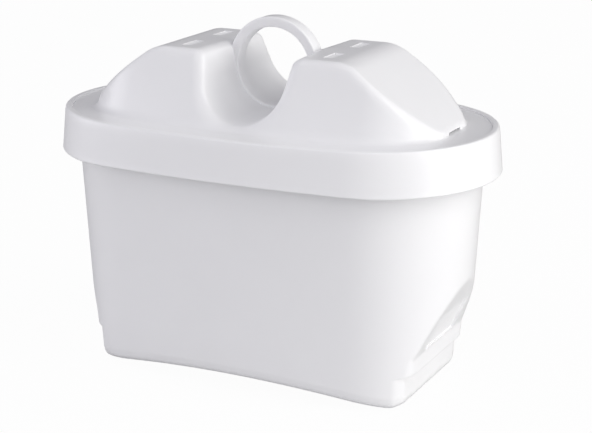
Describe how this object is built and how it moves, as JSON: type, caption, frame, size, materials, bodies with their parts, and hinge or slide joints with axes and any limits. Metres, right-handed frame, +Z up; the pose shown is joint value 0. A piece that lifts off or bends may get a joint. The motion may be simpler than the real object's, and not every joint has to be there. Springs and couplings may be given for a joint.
{
  "type": "water pitcher filter cartridge",
  "caption": "Oval plastic filter cartridge for a water pitcher: tapered cup with a hanging collar, saddle-shaped lid with vent slots, and a pull ring in the saddle.",
  "frame": {"origin": "centre of the outline at the level of the feet", "axes": "+X along the cartridge's length, +Y across it towards the back, +Z up through the lid"},
  "size_m": [0.112, 0.0656, 0.0868],
  "materials": {
    "cup": "semi-gloss moulded",
    "lid": "semi-gloss moulded",
    "mesh": "fine woven mesh",
    "granules": "packed granules"
  },
  "bodies": {
    "root": {"cup": "cup", "lid": "lid", "inlet_screen": "mesh", "outlet_screen_left": "mesh", "outlet_screen_right": "mesh", "filter_bed": "granules"}
  },
  "joints": []
}
